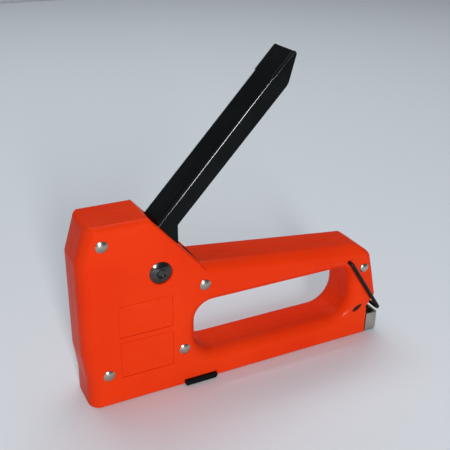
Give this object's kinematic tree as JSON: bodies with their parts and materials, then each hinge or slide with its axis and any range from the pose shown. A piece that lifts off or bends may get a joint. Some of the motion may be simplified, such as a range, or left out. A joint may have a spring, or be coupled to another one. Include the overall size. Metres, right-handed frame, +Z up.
{
  "type": "staple gun",
  "caption": "Hand staple gun with a two-part moulded case, finger opening, long steel squeeze lever, sprung hammer, rear-loading staple magazine and wire lock bail.",
  "frame": {"origin": "point where a staple leaves the nose, on the base plane and on the seam between the two case halves", "axes": "+X from the nose to the rear along the tool, +Y to the tool's right side as it is held, +Z up"},
  "size_m": [0.1644, 0.0328, 0.1571],
  "materials": {
    "case_plastic": "moulded, satin gloss",
    "black_enamel": "gloss black enamel on pressed steel",
    "bright_plate": "bright nickel plate",
    "dark_plate": "black nickel plate, polished",
    "sheet_steel": "zinc plated sheet",
    "spring_steel": "oiled spring wire",
    "black_wire": "black oxide wire",
    "hard_steel": "hardened and oiled",
    "bumper_rubber": "moulded"
  },
  "bodies": {
    "gun_body": {"left_shell": "case_plastic", "right_shell": "case_plastic", "case_rivets": "bright_plate", "lever_pivot_pin": "dark_plate", "nose_guide": "sheet_steel", "spring_seat": "sheet_steel", "hammer_bumper": "bumper_rubber", "power_spring": "spring_steel", "lever_return_spring": "spring_steel", "magazine_channel": "black_enamel", "magazine_catch": "black_wire"},
    "squeeze_lever": {"lever": "black_enamel", "lift_fork": "hard_steel", "fork_rivets": "dark_plate"},
    "striker": {"hammer": "hard_steel", "driver_blade": "hard_steel", "blade_rivets": "sheet_steel"},
    "bail": {"lock_bail": "black_wire"},
    "magazine_insert": {"end_cap": "bright_plate", "core_rail": "sheet_steel", "guide_rod": "bright_plate", "pusher_spring": "spring_steel"},
    "staple_pusher": {"pusher": "sheet_steel"}
  },
  "joints": [
    {"name": "lever_swing", "type": "hinge", "parent": "gun_body", "child": "squeeze_lever", "pos_m": [0.0326, 0, 0.0647], "axis": [0, 1, 0], "range_deg": [0, 50], "stiffness_Nm_per_rad": 2, "springref_deg": -28.65, "deforming": ["lever_return_spring"]},
    {"name": "hammer_lift", "type": "slide", "parent": "gun_body", "child": "striker", "axis": [0, 0, 1], "range_m": [0, 0.0212], "deforming": ["power_spring"]},
    {"name": "bail_swing", "type": "hinge", "parent": "gun_body", "child": "bail", "pos_m": [0.1361, 0, 0.0466], "axis": [0, -1, 0], "range_deg": [0, 157]},
    {"name": "magazine_slide", "type": "slide", "parent": "gun_body", "child": "magazine_insert", "axis": [1, 0, 0], "range_m": [0, 0.12]},
    {"name": "pusher_slide", "type": "slide", "parent": "magazine_insert", "child": "staple_pusher", "axis": [1, 0, 0], "range_m": [0, 0.095], "stiffness_N_per_m": 20, "springref_m": -0.05, "deforming": ["pusher_spring"]}
  ],
  "couplings": [
    {"joint": "hammer_lift", "follows": "lever_swing", "m_per_rad": 0.02395}
  ]
}
